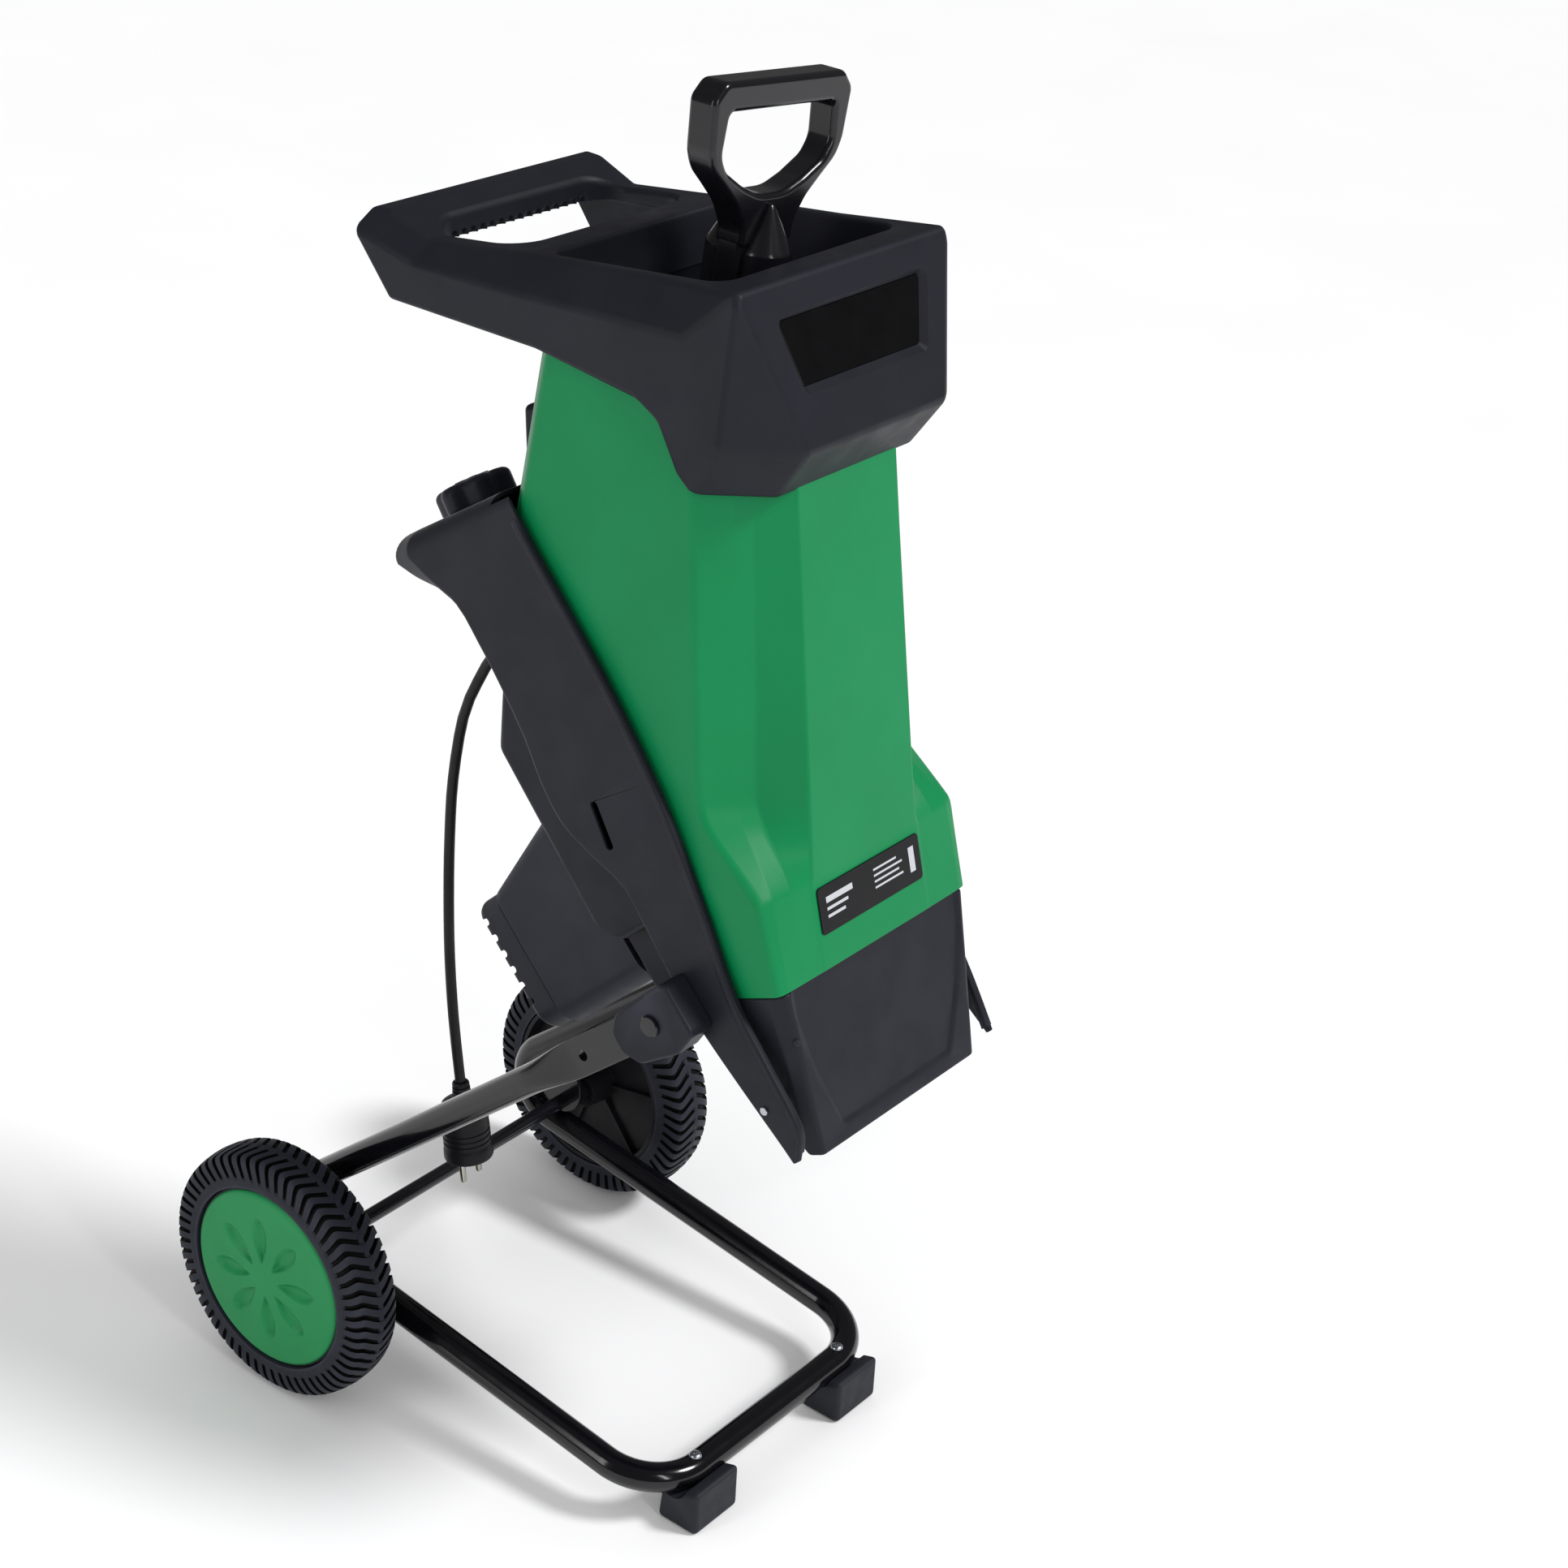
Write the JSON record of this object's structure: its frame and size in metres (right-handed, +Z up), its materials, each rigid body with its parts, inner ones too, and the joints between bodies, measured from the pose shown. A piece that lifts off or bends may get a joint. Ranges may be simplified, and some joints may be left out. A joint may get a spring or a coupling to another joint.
{
  "type": "electric wood chipper",
  "caption": "Electric wood chipper with an upright feed hopper, pusher, motor-driven cutter disc and a wheeled tube stand.",
  "frame": {"origin": "on the ground under the middle of the machine's overall length and width", "axes": "+X across the machine, +Y to the rear where the user stands, +Z up"},
  "size_m": [0.41, 0.5035, 1.02],
  "materials": {
    "acrylic": "gloss black acrylic",
    "aluminium": "cast aluminium",
    "black_plastic": "black moulded plastic",
    "cap_green": "green moulded plastic",
    "copper": "lacquered copper winding",
    "enamel": "gloss black enamel",
    "green_shell": "satin green moulded plastic, fine texture",
    "label": "black label film, blank",
    "red": "red plastic",
    "rubber": "black rubber",
    "slate_plastic": "slate black moulded plastic, fine texture",
    "start_green": "green plastic",
    "steel": "machined steel",
    "tyre": "black tyre rubber",
    "zinc": "zinc plated"
  },
  "bodies": {
    "stand": {"stand_tube": "enamel", "axle": "enamel", "axle_spacer_left": "black_plastic", "axle_spacer_right": "black_plastic", "axle_nut_left": "zinc", "axle_nut_right": "zinc", "foot_left": "rubber", "foot_right": "rubber", "foot_screw_left": "zinc", "foot_screw_right": "zinc", "base_tray": "slate_plastic", "frame_bolt_left": "enamel", "frame_bolt_right": "enamel", "frame_nut_left": "zinc", "frame_nut_right": "zinc", "motor_housing": "slate_plastic", "motor_end_cap": "slate_plastic", "motor_stator": "copper", "bearing_plate": "aluminium", "spindle_bearing_front": "steel", "spindle_bearing_rear": "steel", "motor_bearing_front": "steel", "motor_bearing_rear": "steel", "cord_gland": "black_plastic", "cord": "rubber", "plug": "black_plastic", "hinge_pin_left": "zinc", "hinge_pin_right": "zinc", "safety_microswitch": "black_plastic"},
    "wheel_left": {"tyre_left": "tyre", "wheel_hub_left": "black_plastic", "wheel_cap_left": "cap_green"},
    "wheel_right": {"tyre_right": "tyre", "wheel_hub_right": "black_plastic", "wheel_cap_right": "cap_green"},
    "housing": {"green_shell": "green_shell", "hopper_collar": "slate_plastic", "hopper_window": "acrylic", "label_plate": "label", "chute_cover": "slate_plastic", "feed_chute": "slate_plastic", "anvil_blade": "steel", "switch_box": "slate_plastic", "latch_plate": "zinc"},
    "knob": {"locking_knob": "slate_plastic", "knob_stud": "zinc"},
    "pusher": {"pusher": "slate_plastic"},
    "cutter": {"cutter_disc": "steel", "blade_a": "zinc", "blade_b": "zinc", "blade_screw_a": "steel", "blade_screw_b": "steel", "disc_nut": "zinc", "cutter_spindle": "steel", "drive_gear": "steel"},
    "rotor": {"armature": "steel", "motor_fan": "black_plastic"},
    "start": {"start_button": "start_green"},
    "stop": {"stop_button": "red"}
  },
  "joints": [
    {"name": "wheel_left_spin", "type": "hinge", "parent": "stand", "child": "wheel_left", "pos_m": [-0.184, 0.1517, 0.1], "axis": [1, 0, 0], "continuous": true},
    {"name": "wheel_right_spin", "type": "hinge", "parent": "stand", "child": "wheel_right", "pos_m": [0.184, 0.1517, 0.1], "axis": [1, 0, 0], "continuous": true},
    {"name": "housing_tilt", "type": "hinge", "parent": "stand", "child": "housing", "pos_m": [0, -0.21953, 0.38355], "axis": [1, 0, 0], "range_deg": [0, 60]},
    {"name": "knob_turn", "type": "hinge", "parent": "housing", "child": "knob", "pos_m": [0, 0.1499, 0.65823], "axis": [0, 0.5841, 0.8117], "continuous": true},
    {"name": "pusher_lift", "type": "slide", "parent": "housing", "child": "pusher", "axis": [0.0872, 0, 0.9962], "range_m": [0, 0.25]},
    {"name": "disc_spin", "type": "hinge", "parent": "stand", "child": "cutter", "pos_m": [0, -0.12266, 0.48042], "axis": [0, 0.7071, -0.7071], "continuous": true},
    {"name": "motor_spin", "type": "hinge", "parent": "stand", "child": "rotor", "pos_m": [0, -0.00811, 0.42103], "axis": [0, 0.7071, -0.7071], "continuous": true},
    {"name": "start_press", "type": "slide", "parent": "housing", "child": "start", "axis": [0, -0.9942, 0.108], "range_m": [0, 0.0025], "stiffness_N_per_m": 400},
    {"name": "stop_press", "type": "slide", "parent": "housing", "child": "stop", "axis": [0, -0.9942, 0.108], "range_m": [0, 0.0025], "stiffness_N_per_m": 400}
  ],
  "couplings": [
    {"joint": "motor_spin", "follows": "disc_spin", "ratio": -3}
  ]
}
